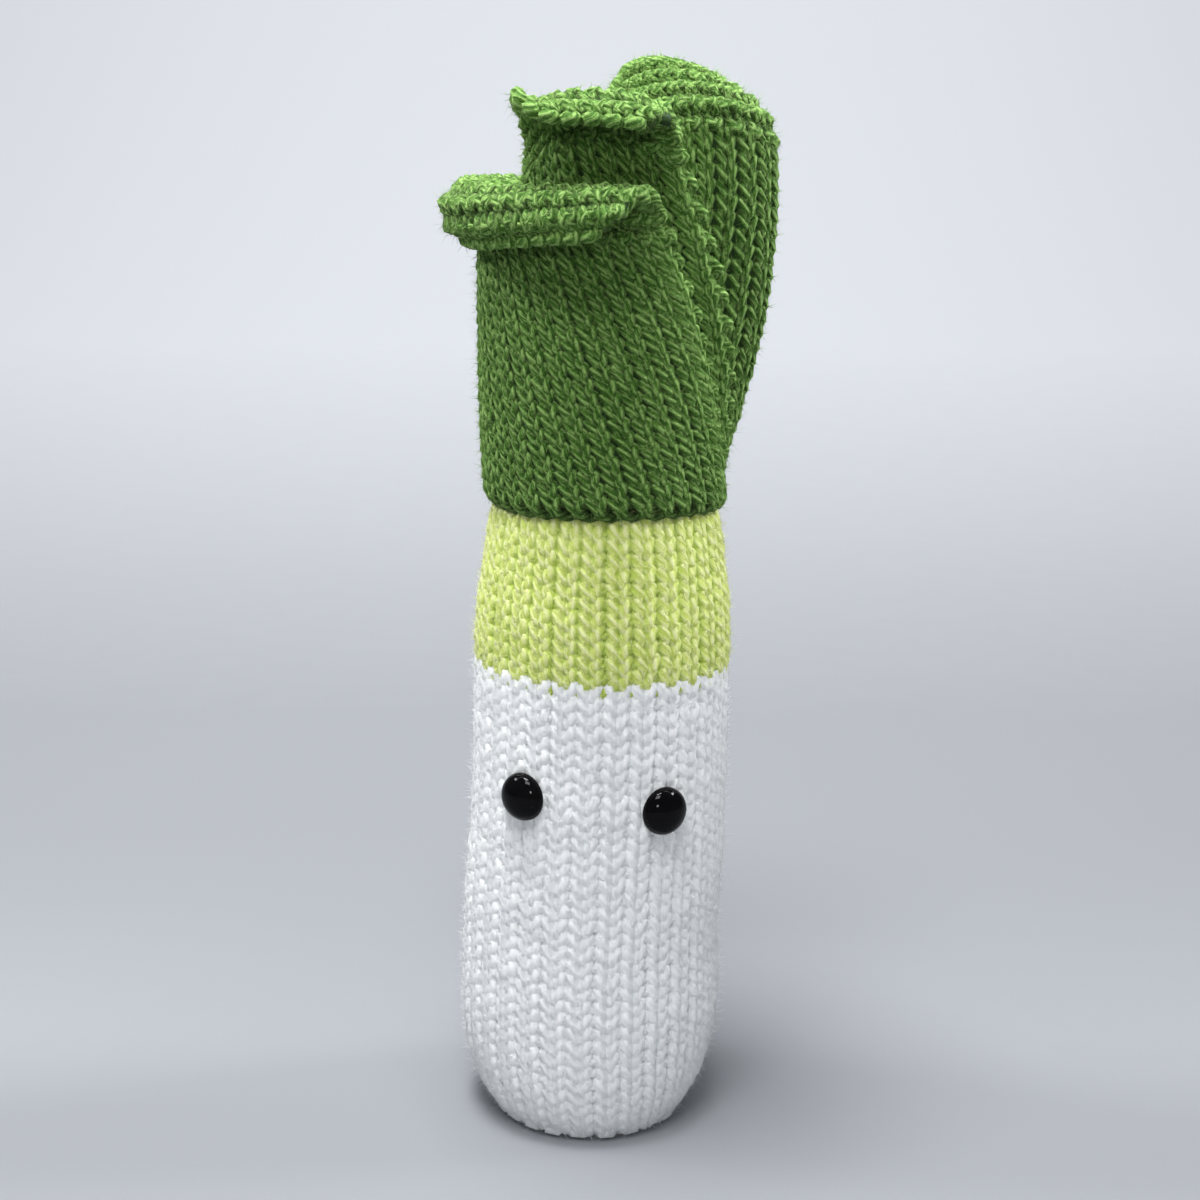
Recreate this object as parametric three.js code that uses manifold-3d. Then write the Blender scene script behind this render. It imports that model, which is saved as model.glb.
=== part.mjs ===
// A hand-knitted, stuffed toy leek that stands upright on a flat round base.
// Millimetres, +Z up, front towards -Y. The origin is the centre of the base, on the surface it stands on.
// Azimuth 0 points to the front (-Y), and positive azimuth turns towards +X.
import * as THREE from "three";
import { mergeVertices } from "three/addons/utils/BufferGeometryUtils.js";
import Module from "manifold-3d";

const wasm = await Module();
wasm.setup();

// Knitting
const GAP = 0.3; // clear space between neighbouring pieces
const FABRIC = 2.6; // thickness of the stalk's fabric
const LEAF_FABRIC = 2.2; // thickness of a leaf's fabric
const WALES_ROUND = 30; // columns of stitches round the stalk
const FIRST_WALE = -5; // azimuth of a column's middle, in degrees
const WALE_RIB = 0.25; // half the height of a column of stitches above the valleys beside it
const GARTER_RIB = 0.45; // the same for a ridge of garter stitch
const GARTER_STEPS = 3; // grid steps for one ridge
const COLOUR_CHANGE = 86; // height where white yarn changes to lime
const COLOUR_ZIGZAG = 0.9; // half the height of the stitch points along that change

// The stuffed stalk leans a little: how far its axis stands to the right, every AXIS_STEP of height
const AXIS_SHIFT = [0, -0.6, -0.4, 0.3, 0.9, 1.3, 1.5, 1.5];
const AXIS_STEP = 19;

// Outer outline of the stalk as [height, radius]; the narrow neck stands hidden inside the leaves
const WHITE_OUTLINE = [
  [0, 20.3],
  [3, 21.8],
  [8, 23.6],
  [19, 24.5],
  [35, 24.4],
  [50, 24.1],
  [65, 23.8],
  [76, 23.5],
];
const LIME_OUTLINE = [
  [90, 23.5],
  [98, 23.2],
  [104, 22.4],
  [113, 21.1],
  [116.8, 20.4],
];
const NECK_OUTLINE = [
  [118.2, 12.9],
  [136, 11.6],
  [144, 9.4],
  [148, 5],
];
const CHANGE_RADIUS = 23.5; // where white yarn changes to lime
const SHOULDER_CLEARANCE = 2.4; // how far the hollow's shoulder and crown lie below the outer ones
const HOLLOW_SIDES = 36;
const CUT_PAST = 5; // how far a cut runs past the surface that it opens

// The base
const BASE_THICKNESS = 2.6;
const BASE_RADIUS = 17.3;
const CARD_THICKNESS = 1.2;
const CARD_RADIUS = 18.6;
const BASE_SIDES = 48;
const STUFFING_FOOT = 1; // height over which the stuffing widens from the card to the fabric

// The eyes: a dome on a ridged shank, held by a washer inside the fabric
const EYE_RADIUS = 4.4;
const EYE_HEIGHT = 3;
const EYE_RIM = 0.3; // height and width of the bevel round the dome's back
const DOME_STEPS = 6;
const EYE_PLACES = [
  { side: "left", azimuth: -34, height: 66.5 },
  { side: "right", azimuth: 29.5, height: 64.3 },
];
const EYE_SEAT = 23.6; // distance of the flat seat pressed into the fabric from the stalk's axis
const SHANK_RADIUS = 1.3;
const SHANK_LENGTH = 11;
const WASHER_RADIUS = 5;
const WASHER_THICKNESS = 1.2;
const WASHER_FACE = 20.4; // distance of the washer's outer face from the stalk's axis
const ROUND_SIDES = 24;

// Leaves are flat knitted strips wrapped round the neck. Each list gives values at evenly spaced wales,
// from the leaf's right edge to its left edge. body is the length from the foot to the fold, root the
// distance of the foot from the axis, lean the outward tilt in degrees at four places up the body, and
// fold the extra tilt that turns the top border over.
const LEAF_FRONT = {
  body: [56, 54, 51.5, 50.5, 49],
  foldLength: 11,
  flap: 5,
  shift: [0, 0],
  footAzimuth: [77, 22, -35, -91, -148],
  rimAzimuth: [22, -22, -67, -112, -156],
  tipAzimuth: [7, -29, -70, -113, -156],
  root: [21.5, 20.8, 20.8, 20.8, 20.8],
  foot: [118, 118, 118, 119, 120],
  lean: [
    [3, 3, 4, 4, 4],
    [2, 1, 1, 1, 1],
    [1, -2, -1, 0, 0],
    [0, -3, -1, 0, 0],
  ],
  fold: [165, 178, 188, 185, 95],
  ribs: 11,
  ridges: 4,
  border: 0.26,
};
const LEAF_MIDDLE = {
  body: [64.5, 66, 66, 59.5, 57, 56, 55],
  foldLength: 7.5,
  flap: 5,
  shift: [0, 0],
  footAzimuth: [88, 55, 22, -12, -45, -78, -112],
  rimAzimuth: [30, 4, -22, -48, -74, -100, -126],
  tipAzimuth: [24, 1, -22, -46, -72, -99, -126],
  root: [20.2, 17.4, 17.5, 17.4, 17.4, 17.4, 17.4],
  foot: [119, 119, 119, 119, 119, 119, 119],
  lean: [
    [9, 0, 0, 0, 0, 0, 0],
    [6, 0, 0, 0, -1, -2, -2],
    [0, 2, 1, -1, -3, -4, -4],
    [-9, 0, -2, -7, -8, -8, -8],
  ],
  fold: [125, 130, 118, 18, -10, -10, -10],
  ribs: 10,
  ridges: 3,
  border: 0.18,
};
const LEAF_BACK = {
  body: [56, 61, 63.5, 63.5, 62, 58, 54],
  foldLength: 7,
  flap: 8,
  shift: [2.5, 1],
  footAzimuth: [-20, 23, 66, 108, 144, 180, 225],
  rimAzimuth: [-25, 12, 48, 86, 132, 178, 230],
  tipAzimuth: [-25, 12, 48, 86, 132, 178, 230],
  root: [14.7, 14.6, 14.6, 20.5, 20.8, 20.5, 17],
  foot: [120, 120, 120, 119, 119, 119, 119],
  lean: [
    [-2, -3, -2, 16, 6, 1, -2],
    [-2, -2, 3, 10, 6, 0, -2],
    [-1, 0, 8, 0, 1, -1, -3],
    [0, -6, -3, -5, -5, -5, -8],
  ],
  fold: [-40, -45, -50, -52, -50, -50, -55],
  ribs: 11,
  ridges: 3,
  border: 0.18,
};
const LEAF_BODY_ROWS = 8;
const WALE_STEPS = 60; // steps for following a wale from its foot to its tip
const STEEPEST = 0.8; // most of a wale's length that may run round the leaf

const radians = THREE.MathUtils.degToRad;

function smooth(x) {
  return THREE.MathUtils.smoothstep(x, 0, 1);
}

// A smooth curve through evenly spaced values, with place running from 0 to 1.
function spline(values, place) {
  const last = values.length - 1;
  const x = THREE.MathUtils.clamp(place, 0, 1) * last;
  const i = Math.min(Math.floor(x), last - 1);
  const f = x - i;
  const b = values[i];
  const c = values[i + 1];
  const a = i > 0 ? values[i - 1] : 2 * b - c;
  const d = i < last - 1 ? values[i + 2] : 2 * c - b;
  const slope = (c - a) * f;
  const bend = (2 * a - 5 * b + 4 * c - d) * f * f;
  return 0.5 * (2 * b + slope + bend + (3 * (b - c) + d - a) * f * f * f);
}

function axisShift(height) {
  return spline(AXIS_SHIFT, height / (AXIS_STEP * (AXIS_SHIFT.length - 1)));
}

function aroundAxis(radius, azimuth, height) {
  const turn = radians(azimuth);
  return new THREE.Vector3(
    axisShift(height) + radius * Math.sin(turn),
    -radius * Math.cos(turn),
    height,
  );
}

function geometryFrom(points, index) {
  const geometry = new THREE.BufferGeometry().setFromPoints(points);
  geometry.setIndex(index);
  return geometry;
}

// A closed solid through rings of points, each ring wound from the front towards +X, lowest ring first.
function loft(rings) {
  const sides = rings[0].length;
  const points = rings.flat();
  const index = [];
  for (let row = 0; row + 1 < rings.length; row++)
    for (let i = 0; i < sides; i++) {
      const a = row * sides + i;
      const b = row * sides + ((i + 1) % sides);
      index.push(a, b, b + sides, a, b + sides, a + sides);
    }
  const middleOf = (ring) =>
    ring.reduce((sum, p) => sum.add(p), new THREE.Vector3()).divideScalar(sides);
  const low = points.push(middleOf(rings[0])) - 1;
  const high = points.push(middleOf(rings[rings.length - 1])) - 1;
  const lastRow = (rings.length - 1) * sides;
  for (let i = 0; i < sides; i++) {
    const j = (i + 1) % sides;
    index.push(low, j, i);
    index.push(high, lastRow + i, lastRow + j);
  }
  return geometryFrom(points, index);
}

function solidFrom(geometry) {
  const bare = geometry.clone();
  bare.deleteAttribute("normal");
  bare.deleteAttribute("uv");
  const merged = mergeVertices(bare, 1e-4);
  return new wasm.Manifold(
    new wasm.Mesh({
      numProp: 3,
      vertProperties: merged.attributes.position.array,
      triVerts: new Uint32Array(merged.index.array),
    }),
  );
}

function geometryOf(solid) {
  const mesh = solid.getMesh();
  const geometry = new THREE.BufferGeometry();
  geometry.setAttribute("position", new THREE.BufferAttribute(mesh.vertProperties, 3));
  geometry.setIndex(new THREE.BufferAttribute(mesh.triVerts, 1));
  return geometry;
}

// A ring round the stalk with one crest and one valley for each wale.
function ribbedRing(height, radius, zigzag = 0) {
  return Array.from({ length: 2 * WALES_ROUND }, (_, i) => {
    const crest = i % 2 === 0 ? 1 : -1;
    const azimuth = FIRST_WALE + (i * 180) / WALES_ROUND;
    const point = aroundAxis(radius + crest * WALE_RIB, azimuth, height);
    point.z -= crest * zigzag;
    return point;
  });
}

function plainRing(height, radius, sides) {
  return Array.from({ length: sides }, (_, i) =>
    aroundAxis(radius, (i * 360) / sides, height),
  );
}

// The hollow inside the stalk, from below the base up to the crown, shrunk by clearance on every side.
function hollowOutline(clearance) {
  const wall = FABRIC + clearance;
  const inset = (outline, drop) => outline.map(([height, radius]) => [height - drop, radius - wall]);
  return [
    ...inset(WHITE_OUTLINE, 0),
    [COLOUR_CHANGE, CHANGE_RADIUS - wall],
    ...inset(LIME_OUTLINE, 0).slice(0, -1),
    ...inset(LIME_OUTLINE.slice(-1), SHOULDER_CLEARANCE + clearance),
    ...inset(NECK_OUTLINE, SHOULDER_CLEARANCE + clearance),
  ];
}

function outlineSolid(outline) {
  return solidFrom(loft(outline.map(([height, radius]) => plainRing(height, radius, HOLLOW_SIDES))));
}

// A cylinder along an eye's axis, between two distances from the stalk's axis.
function eyeBore(place, radius, near, far) {
  const geometry = new THREE.CylinderGeometry(radius, radius, far - near, ROUND_SIDES);
  geometry.translate(0, -(near + far) / 2, 0);
  geometry.rotateZ(radians(place.azimuth));
  geometry.translate(axisShift(place.height), 0, place.height);
  return solidFrom(geometry);
}

// Knitted tube of white yarn: open below, with a pressed seat and a shank hole for each eye
function makeStalkWhite() {
  const rings = WHITE_OUTLINE.map(([height, radius]) => ribbedRing(height, radius));
  rings.push(ribbedRing(COLOUR_CHANGE, CHANGE_RADIUS, COLOUR_ZIGZAG));
  const hollow = hollowOutline(0);
  const belowBase = [-CUT_PAST, hollow[0][1]];
  let tube = solidFrom(loft(rings)).subtract(outlineSolid([belowBase, ...hollow]));
  for (const place of EYE_PLACES) {
    tube = tube.subtract(eyeBore(place, EYE_RADIUS + GAP, EYE_SEAT, EYE_SEAT + CUT_PAST));
    tube = tube.subtract(eyeBore(place, SHANK_RADIUS + GAP, WASHER_FACE, EYE_SEAT + CUT_PAST));
  }
  return geometryOf(tube);
}

// Pale green part of the same tube, with the gathered neck that the leaves wrap
function makeStalkLime() {
  const rings = [ribbedRing(COLOUR_CHANGE + GAP, CHANGE_RADIUS, COLOUR_ZIGZAG)];
  for (const [height, radius] of [...LIME_OUTLINE, ...NECK_OUTLINE]) rings.push(ribbedRing(height, radius));
  return geometryOf(solidFrom(loft(rings)).subtract(outlineSolid(hollowOutline(0))));
}

// Filling of the whole hollow above the card, with a space for each washer and shank
function makeStuffing() {
  const floor = BASE_THICKNESS + CARD_THICKNESS + 3 * GAP;
  const above = hollowOutline(GAP).filter(([height]) => height > floor + STUFFING_FOOT);
  let stuffing = outlineSolid([[floor, CARD_RADIUS], ...above]);
  const washerBack = WASHER_FACE - WASHER_THICKNESS;
  const shankEnd = EYE_SEAT + GAP - SHANK_LENGTH;
  for (const place of EYE_PLACES) {
    stuffing = stuffing.subtract(eyeBore(place, WASHER_RADIUS + GAP, washerBack - GAP, EYE_SEAT + CUT_PAST));
    stuffing = stuffing.subtract(eyeBore(place, SHANK_RADIUS + GAP, shankEnd - GAP, EYE_SEAT));
  }
  return geometryOf(stuffing);
}

function makeDisc(radius, low, thickness) {
  return loft([plainRing(low, radius, BASE_SIDES), plainRing(low + thickness, radius, BASE_SIDES)]);
}

// Dome with its flat back in the plane z = 0 and the shank running down from it
function makeEye() {
  const profile = [
    new THREE.Vector2(0, -SHANK_LENGTH),
    new THREE.Vector2(SHANK_RADIUS, -SHANK_LENGTH),
    new THREE.Vector2(SHANK_RADIUS, 0),
    new THREE.Vector2(EYE_RADIUS - EYE_RIM, 0),
  ];
  for (let i = 0; i < DOME_STEPS; i++) {
    const turn = ((Math.PI / 2) * i) / DOME_STEPS;
    const rise = EYE_RIM + (EYE_HEIGHT - EYE_RIM) * Math.sin(turn);
    profile.push(new THREE.Vector2(EYE_RADIUS * Math.cos(turn), rise));
  }
  profile.push(new THREE.Vector2(0, EYE_HEIGHT));
  return new THREE.LatheGeometry(profile, ROUND_SIDES).rotateX(Math.PI / 2);
}

function makeWasher() {
  const inner = SHANK_RADIUS + GAP;
  const half = WASHER_THICKNESS / 2;
  const profile = [
    new THREE.Vector2(inner, -half),
    new THREE.Vector2(WASHER_RADIUS, -half),
    new THREE.Vector2(WASHER_RADIUS, half),
    new THREE.Vector2(inner, half),
    new THREE.Vector2(inner, -half),
  ];
  return new THREE.LatheGeometry(profile, ROUND_SIDES).rotateX(Math.PI / 2);
}

// Turns a group so that its local z points out of the stalk at the eye's azimuth.
function eyeGroup(place) {
  const group = new THREE.Group();
  group.position.set(axisShift(place.height), 0, place.height);
  group.rotation.order = "ZXY";
  group.rotation.set(Math.PI / 2, 0, radians(place.azimuth));
  return group;
}

// Middle surface of a leaf: across runs from the right edge to the left, up from the foot to the tip.
function leafMiddle(leaf, across, up) {
  const body = spline(leaf.body, across);
  const fold = spline(leaf.fold, across);
  const foot = spline(leaf.footAzimuth, across);
  const rim = spline(leaf.rimAzimuth, across);
  const tip = spline(leaf.tipAzimuth, across);
  const leans = leaf.lean.map((row) => spline(row, across));
  const length = body + leaf.foldLength + leaf.flap;
  const distance = up * length;
  const step = distance / WALE_STEPS;
  let radius = spline(leaf.root, across);
  let height = spline(leaf.foot, across);
  for (let k = 0; k < WALE_STEPS; k++) {
    const s = step * (k + 0.5);
    const place = Math.min(s / body, 1) * (leans.length - 1);
    const i = Math.min(Math.floor(place), leans.length - 2);
    const bodyLean = leans[i] + (leans[i + 1] - leans[i]) * smooth(place - i);
    const lean = radians(bodyLean + fold * smooth((s - body) / leaf.foldLength));
    const turning = s < body ? (rim - foot) / body : (tip - rim) / (length - body);
    const round = Math.min(Math.abs(radius * radians(turning)), STEEPEST);
    const upright = Math.sqrt(1 - round * round);
    radius += Math.sin(lean) * upright * step;
    height += Math.cos(lean) * upright * step;
  }
  const bodyPart = Math.min(distance / body, 1);
  const flapPart = Math.max(0, (distance - body) / (length - body));
  const point = aroundAxis(radius, foot + (rim - foot) * bodyPart + (tip - rim) * flapPart, height);
  point.x += leaf.shift[0] * smooth(bodyPart);
  point.y += leaf.shift[1] * smooth(bodyPart);
  return point;
}

// Outward normal of the leaf's middle surface.
function leafNormal(leaf, across, up) {
  const step = 0.004;
  const [a, b] = [Math.max(across - step, 0), Math.min(across + step, 1)];
  const [c, d] = [Math.max(up - step, 0), Math.min(up + step, 1)];
  const leftwards = leafMiddle(leaf, b, up).sub(leafMiddle(leaf, a, up));
  const upwards = leafMiddle(leaf, across, d).sub(leafMiddle(leaf, across, c));
  return upwards.cross(leftwards).normalize();
}

// Wales stand up as ribs on the body, and rows of garter stitch as ridges on the border.
function leafRelief(leaf, across, up) {
  const border = 1 - leaf.border;
  if (up < border) return WALE_RIB * Math.cos(2 * Math.PI * leaf.ribs * across);
  return GARTER_RIB * Math.cos((2 * Math.PI * leaf.ridges * (up - border)) / leaf.border);
}

function leafRows(leaf) {
  const border = 1 - leaf.border;
  const rows = Array.from({ length: LEAF_BODY_ROWS }, (_, i) => (border * i) / LEAF_BODY_ROWS);
  const steps = leaf.ridges * GARTER_STEPS;
  for (let i = 0; i <= steps; i++) rows.push(border + (leaf.border * i) / steps);
  return rows;
}

// A closed sheet: the outer and inner faces are split into triangles alike.
function makeLeaf(leaf) {
  const rows = leafRows(leaf);
  const columns = 2 * leaf.ribs;
  const outer = [];
  const inner = [];
  for (const up of rows)
    for (let i = 0; i <= columns; i++) {
      const across = i / columns;
      const middle = leafMiddle(leaf, across, up);
      const normal = leafNormal(leaf, across, up);
      middle.addScaledVector(normal, leafRelief(leaf, across, up));
      outer.push(middle.clone().addScaledVector(normal, LEAF_FABRIC / 2));
      inner.push(middle.clone().addScaledVector(normal, -LEAF_FABRIC / 2));
    }
  const wide = columns + 1;
  const back = outer.length;
  const index = [];
  const wall = (a, b) => index.push(a, b, b + back, a, b + back, a + back);
  for (let row = 0; row + 1 < rows.length; row++)
    for (let i = 0; i < columns; i++) {
      const a = row * wide + i;
      const c = a + wide;
      index.push(a, c + 1, a + 1, a, c, c + 1);
      index.push(back + a, back + a + 1, back + c + 1, back + a, back + c + 1, back + c);
    }
  const top = (rows.length - 1) * wide;
  for (let i = 0; i < columns; i++) {
    wall(i, i + 1);
    wall(top + i + 1, top + i);
  }
  for (let row = 0; row + 1 < rows.length; row++) {
    wall((row + 1) * wide, row * wide);
    wall(row * wide + columns, (row + 1) * wide + columns);
  }
  return geometryFrom([...outer, ...inner], index);
}

// Colours, roughness and metalness
const yarn = (color) => new THREE.MeshStandardMaterial({ color, roughness: 0.9, metalness: 0 });
const whiteYarn = yarn("#e9ebee");
const limeYarn = yarn("#cfe08a");
const leafYarn = yarn("#5f9a45");
const eyePlastic = new THREE.MeshStandardMaterial({ color: "#0b0b0c", roughness: 0.12, metalness: 0 });
const washerPlastic = new THREE.MeshStandardMaterial({ color: "#d9d6cc", roughness: 0.5, metalness: 0 });
const card = new THREE.MeshStandardMaterial({ color: "#b69f7c", roughness: 0.85, metalness: 0 });
const filling = yarn("#f2f1ec");

function named(name, geometry, material) {
  const mesh = new THREE.Mesh(geometry, material);
  mesh.name = name;
  return mesh;
}

const leek = new THREE.Group();
leek.name = "knitted_toy_leek";
leek.add(named("stalk_white", makeStalkWhite(), whiteYarn));
leek.add(named("stalk_lime", makeStalkLime(), limeYarn));
leek.add(named("base_disc", makeDisc(BASE_RADIUS, 0, BASE_THICKNESS), whiteYarn));
leek.add(named("base_card", makeDisc(CARD_RADIUS, BASE_THICKNESS + GAP, CARD_THICKNESS), card));
leek.add(named("stuffing", makeStuffing(), filling));
leek.add(named("leaf_front", makeLeaf(LEAF_FRONT), leafYarn));
leek.add(named("leaf_middle", makeLeaf(LEAF_MIDDLE), leafYarn));
leek.add(named("leaf_back", makeLeaf(LEAF_BACK), leafYarn));
for (const place of EYE_PLACES) {
  const group = eyeGroup(place);
  const eye = named(`eye_${place.side}`, makeEye(), eyePlastic);
  eye.position.z = EYE_SEAT + GAP;
  const washer = named(`eye_washer_${place.side}`, makeWasher(), washerPlastic);
  washer.position.z = WASHER_FACE - WASHER_THICKNESS / 2;
  group.add(eye, washer);
  leek.add(group);
}

export default leek;
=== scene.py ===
import bpy
import numpy as np
from mathutils import Matrix, Vector


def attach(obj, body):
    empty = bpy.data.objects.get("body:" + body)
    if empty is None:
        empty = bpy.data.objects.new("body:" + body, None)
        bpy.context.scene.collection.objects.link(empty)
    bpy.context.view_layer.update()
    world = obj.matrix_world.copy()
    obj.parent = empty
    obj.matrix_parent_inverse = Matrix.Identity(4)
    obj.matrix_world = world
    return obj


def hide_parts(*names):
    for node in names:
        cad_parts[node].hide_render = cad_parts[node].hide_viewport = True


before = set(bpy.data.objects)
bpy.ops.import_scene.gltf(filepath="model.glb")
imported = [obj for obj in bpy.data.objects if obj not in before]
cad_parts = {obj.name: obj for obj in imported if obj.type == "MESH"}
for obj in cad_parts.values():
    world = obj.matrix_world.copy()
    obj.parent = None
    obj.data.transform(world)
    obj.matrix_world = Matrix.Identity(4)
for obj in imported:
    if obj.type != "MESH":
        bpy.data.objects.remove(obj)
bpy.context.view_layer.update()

MM = 0.001
RANDOM = np.random.default_rng(12)

# Lengths are in millimetres and angles in degrees, unless a comment says otherwise.
# Azimuth 0 is the front, and positive is towards +X. A wale is a column of stitches.

# The stalk: its wales, the azimuth of the first, the height of a row and of the first lime row
STALK_WALES = 30
FIRST_WALE = -5
STALK_ROW = 2.55
FIRST_LIME_ROW = 88.6
# How far its axis stands towards +X, every AXIS_STEP of height
AXIS_SHIFT = [0, -0.6, -0.4, 0.3, 0.9, 1.3, 1.5, 1.5]
AXIS_STEP = 19
# Outer outline of the knitted tube as (height, radius), from under its rim to the shoulder
STALK_OUTLINE = [
    (0.0, 15.5), (0.0, 18.2), (0.6, 20.4), (3.0, 21.9), (8.0, 23.7), (19.0, 24.6), (35.0, 24.5),
    (50.0, 24.2), (65.0, 23.9), (76.0, 23.7), (86.0, 23.6), (90.0, 23.6), (98.0, 23.3), (104.0, 22.5),
    (113.0, 21.2), (116.8, 20.2), (118.6, 17.0), (119.4, 13.0),
]
# The gathered neck above it, which the leaves hide
NECK_OUTLINE = [(117.0, 13.2), (124.0, 12.6), (136.0, 11.8), (143.0, 9.8), (147.0, 6.0), (148.0, 2.0)]
NECK_WALES = 16
OUTLINE_STEPS = 400

# The base: its rounds as (radius, stitches), how far they reach, and the height of the fabric's middle
BASE_ROUNDS = [(17.6, 26), (15.2, 22), (12.8, 19), (10.4, 15), (8.0, 12), (5.6, 8), (3.2, 5)]
BASE_REACH = 20.0
BASE_HEIGHT = 1.5
BASE_ROW = 2.3
BASE_DEPTH = 0.2
BASE_WALES = 16

# Where the filled tube is pressed in, as (azimuth, height, width in degrees, width in height, depth)
SQUEEZES = [(88, 0, 55, 13, 3.4), (-80, 0, 45, 10, 1.2), (95, 36, 40, 8, 0.8), (-95, 62, 40, 14, 0.5)]

# The yarn's radius, and how far its loops swing out of the fabric and into it
YARN = 1.34
LOOP_DEPTH = 0.36
LEAF_YARN = 0.96
LEAF_DEPTH = 0.6
# How far the loops swing up and down, in rows, and sideways, in stitches
LOOP_HEIGHT = 1.0
LOOP_SWAY = 0.2
LEAF_SWAY = 0.27
# How far each stitch's two legs draw together, in stitches, which leaves a valley between the wales
GATHER = 0.05
# How uneven the stitches are: the spread of each measure, in its own unit
UNEVEN = dict(sway=0.06, side=0.03, height=0.05, rise=0.04, out=0.07, swell=0.04)
# Garter stitch: how far its ridges stand out, and how much fatter its yarn is
GARTER_DEPTH = 0.62
GARTER_LIFT = 0.2
GARTER_SWAY = 0.1
GARTER_SWELL = 1.25
# How far the border's last row is drawn in at its ends, and a row's end bows out to the next, in stitches
CORNER_PULL = 1.3
SELVEDGE_BOW = 0.3
SELVEDGE_POINTS = 4
# How far each wale wanders from its line, in stitches, and how much of that one row keeps
WANDER = 0.013
WANDER_KEPT = 0.9
# Points of the yarn's path for each stitch, and the sides of its tube
SAMPLES = 9
SIDES = 6
# How far the yarn stands out past the outline, and how far in from the outline the fabric's middle lies
YARN_PROUD = 0.25
TO_CENTRE = YARN + LOOP_DEPTH - YARN_PROUD
# The mat of fibres that shows between the stalk's stitches, in painted shade colours: how far out from the
# fabric's middle it starts, how thick it is, and the clear space between it and the filling
MAT_LIFT = 0.35
MAT_THICKNESS = 1.2
FILLING_GAP = 0.1
# How much painted shade the skin that neighbours hide gets: none within EDGE_OPEN stitches of a free edge
EDGE_OPEN = 0.3
SUNK_SHADE = 0.85
SUNK_POWER = 1.5

# The wool's fibres: a short nap all over the yarn, and finer loose ones that stand away from it.
# Count is for each stitch, half is half their width, and reach is from the shortest to the longest.
# Lift, along and tangle comb them out of the yarn, along it and at random.
FIBRES = (
    dict(count=24, half=0.055, reach=(0.8, 1.9), lift=0.35, along=0.5, tangle=0.6),
    dict(count=12, half=0.028, reach=(1.0, 3.0), lift=0.7, along=0.3, tangle=0.7),
)
# How far out of the yarn's middle they are rooted, as a share of its radius, and how far they keep off the
# surface that the toy stands on
ROOT_DEPTH = 0.85
FLOOR_GAP = 0.05
# The share of a leaf's fibres that grow on its back
LEAF_BEHIND = 0.25

# The eyes: where each stands as (azimuth, height), and its back's distance from the axis
EYE_PLACES = {"left": (-34, 66.5), "right": (29.5, 64.3)}
EYE_BACK = 23.9
EYE_RADIUS = 4.4
EYE_HEIGHT = 3.0
# The dome's edge draws in to this share of its radius as it sinks into the fabric
EYE_WAIST = 0.9
EYE_SUNK = 0.3
EYE_RINGS = 24
EYE_SIDES = 64

# Leaves, close to the part's source. Each list runs from the leaf's right edge to its left edge. Body is the
# length from the foot to the fold, root the foot's distance from the axis, lean the outward tilt at four
# places up the body, and fold the extra tilt that turns the border over. Border is its share of the height,
# and flat is the leaf's size in metres before it was wrapped.
LEAVES = {
    "front": dict(
        body=[54, 52, 51.5, 52, 50.5], fold_length=14, flap=2, shift=(0, 0),
        foot_azimuth=[77, 22, -35, -91, -148], rim_azimuth=[22, -22, -67, -112, -156],
        tip_azimuth=[7, -29, -70, -113, -156], root=[21.5, 20.8, 20.8, 20.8, 20.8],
        foot=[118, 118, 118, 119, 120],
        lean=[[3, 3, 4, 4, 4], [2, 1, 1, 1, 1], [1, -2, -1, 0, 0], [0, -3, -1, 0, 0]],
        fold=[185, 205, 228, 250, 235], border=0.27, wales=21, rows=21, ridges=5, flat=(0.082, 0.068),
        from_left=False,
    ),
    "middle": dict(
        body=[64.5, 66, 64.5, 58.5, 53, 50, 49], fold_length=8.5, flap=4.5, shift=(0, 0),
        foot_azimuth=[88, 55, 22, -12, -45, -78, -112], rim_azimuth=[30, 4, -22, -48, -74, -100, -126],
        tip_azimuth=[24, 1, -22, -46, -72, -99, -126], root=[20.2, 17.4, 17.5, 17.4, 17.4, 17.4, 17.4],
        foot=[119, 119, 119, 119, 119, 119, 119],
        lean=[
            [9, 0, 0, 0, 0, 0, 0], [6, 0, 0, 0, -1, -2, -2],
            [0, 2, 1, -1, -3, -4, -4], [-9, 0, -2, -11, -12, -9, -8],
        ],
        fold=[125, 130, 118, 58, 8, -5, -10], border=0.18, wales=16, rows=25, ridges=4, flat=(0.062, 0.074),
        from_left=False,
    ),
    "back": dict(
        body=[56, 61, 63.5, 63.5, 62, 58, 54], fold_length=7, flap=8, shift=(2.5, 1),
        foot_azimuth=[-20, 23, 66, 108, 144, 180, 225], rim_azimuth=[-25, 12, 48, 86, 132, 178, 230],
        tip_azimuth=[-25, 12, 48, 86, 132, 178, 230], root=[14.7, 14.6, 14.6, 20.5, 20.8, 20.5, 17],
        foot=[120, 120, 120, 119, 119, 119, 119],
        lean=[
            [-2, -3, -2, 16, 6, 1, -2], [-2, -2, 3, 10, 6, 0, -2],
            [-1, 0, 8, 0, 1, -1, -3], [0, -6, -3, -5, -5, -5, -8],
        ],
        fold=[-40, -45, -50, -52, -50, -50, -55], border=0.18, wales=25, rows=25, ridges=4,
        flat=(0.100, 0.076), from_left=True,
    ),
}
# Steps up a wale, the largest share of each that goes sideways, and half the thickness of a leaf's core
WALE_STEPS = 60
STEEPEST = 0.8
CORE_HALF = 0.6


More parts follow.
